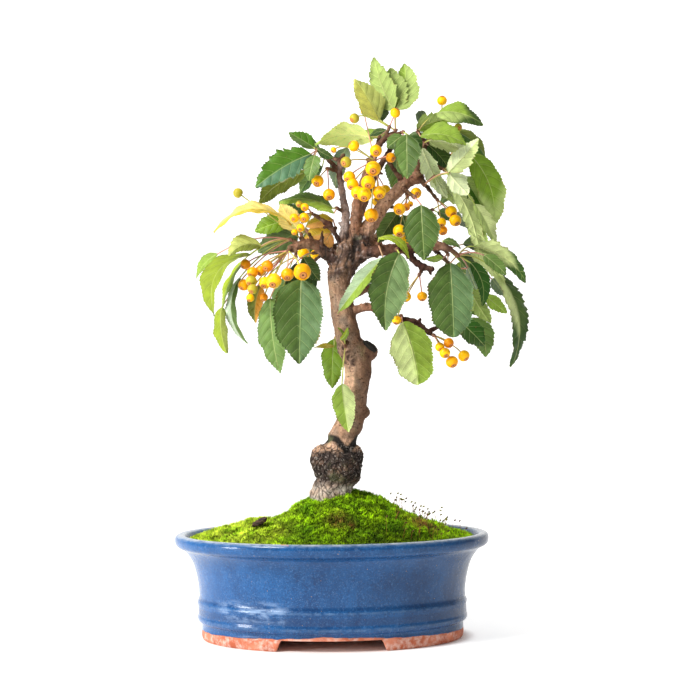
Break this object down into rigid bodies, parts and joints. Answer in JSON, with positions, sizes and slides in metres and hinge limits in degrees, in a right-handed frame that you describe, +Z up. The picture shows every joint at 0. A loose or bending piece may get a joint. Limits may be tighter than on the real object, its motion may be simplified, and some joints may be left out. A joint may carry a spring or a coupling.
{
  "type": "crabapple bonsai",
  "caption": "Crabapple bonsai in leaf with ripe yellow fruit, its trunk leaning up from moss over soil in a blue glazed oval pot on two feet.",
  "frame": {"origin": "middle of the bounding box on the plane that the pot's feet stand on", "axes": "+Z up along the tree; +X to the right and -Y towards the viewer when the tree is seen from its front, along the pot's long and short sides"},
  "size_m": [0.2816, 0.2, 0.4646],
  "materials": {
    "leaf_green": "soft sheen, matte underside",
    "leaf_lime": "satin",
    "leaf_pale": "matte, downy underside",
    "leaf_autumn": "matte, turning yellow",
    "fruit": "gloss",
    "bark": "matte",
    "dead_bark": "matte",
    "moss": "matte",
    "soil": "matte",
    "pot": "gloss",
    "mesh": "matte",
    "wire": "satin"
  },
  "bodies": {
    "root": {"pot": "pot", "drainage_mesh_left": "mesh", "mesh_clip_left": "wire", "drainage_mesh_right": "mesh", "mesh_clip_right": "wire", "moss": "moss", "soil": "soil", "bark_flake": "dead_bark", "trunk": "bark", "leaves_left_low": "leaf_green", "leaves_left_tip": "leaf_lime", "leaves_left_inner": "leaf_green", "leaves_upper_left": "leaf_green", "leaves_shoulder": "leaf_green", "leaves_left_back": "leaf_green", "autumn_leaves_left": "leaf_autumn", "autumn_leaves_middle": "leaf_autumn", "leaves_top_left": "leaf_lime", "leaves_top": "leaf_lime", "leaves_top_front": "leaf_green", "leaves_top_right": "leaf_lime", "leaves_crown_right": "leaf_pale", "leaves_right_pale": "leaf_pale", "leaves_right_fall": "leaf_green", "leaves_right_heart": "leaf_green", "leaves_right_inner": "leaf_green", "leaves_right_tip": "leaf_green", "leaves_right_under": "leaf_pale", "leaves_right_lime": "leaf_lime", "leaves_low_tip": "leaf_green", "leaves_middle_front": "leaf_lime", "leaves_right_front": "leaf_green", "leaves_low_front": "leaf_pale", "leaves_trunk_front": "leaf_lime", "leaves_trunk_back": "leaf_green", "leaves_back_left": "leaf_green", "leaves_back_low": "leaf_green", "leaves_back_right": "leaf_green", "leaves_back_top": "leaf_green", "leaves_back_inner": "leaf_green", "leaves_back_far_right": "leaf_green", "leaves_back_upper_left": "leaf_green", "fruit_left": "fruit", "fruit_left_lone": "fruit", "fruit_upper_left": "fruit", "fruit_upper": "fruit", "fruit_middle": "fruit", "fruit_top": "fruit", "fruit_top_right": "fruit", "fruit_right_inner": "fruit", "fruit_right_outer": "fruit", "fruit_right_spur": "fruit", "fruit_low": "fruit", "fruit_back_left": "fruit", "fruit_back_right": "fruit", "fruit_back_top": "fruit"}
  },
  "joints": []
}
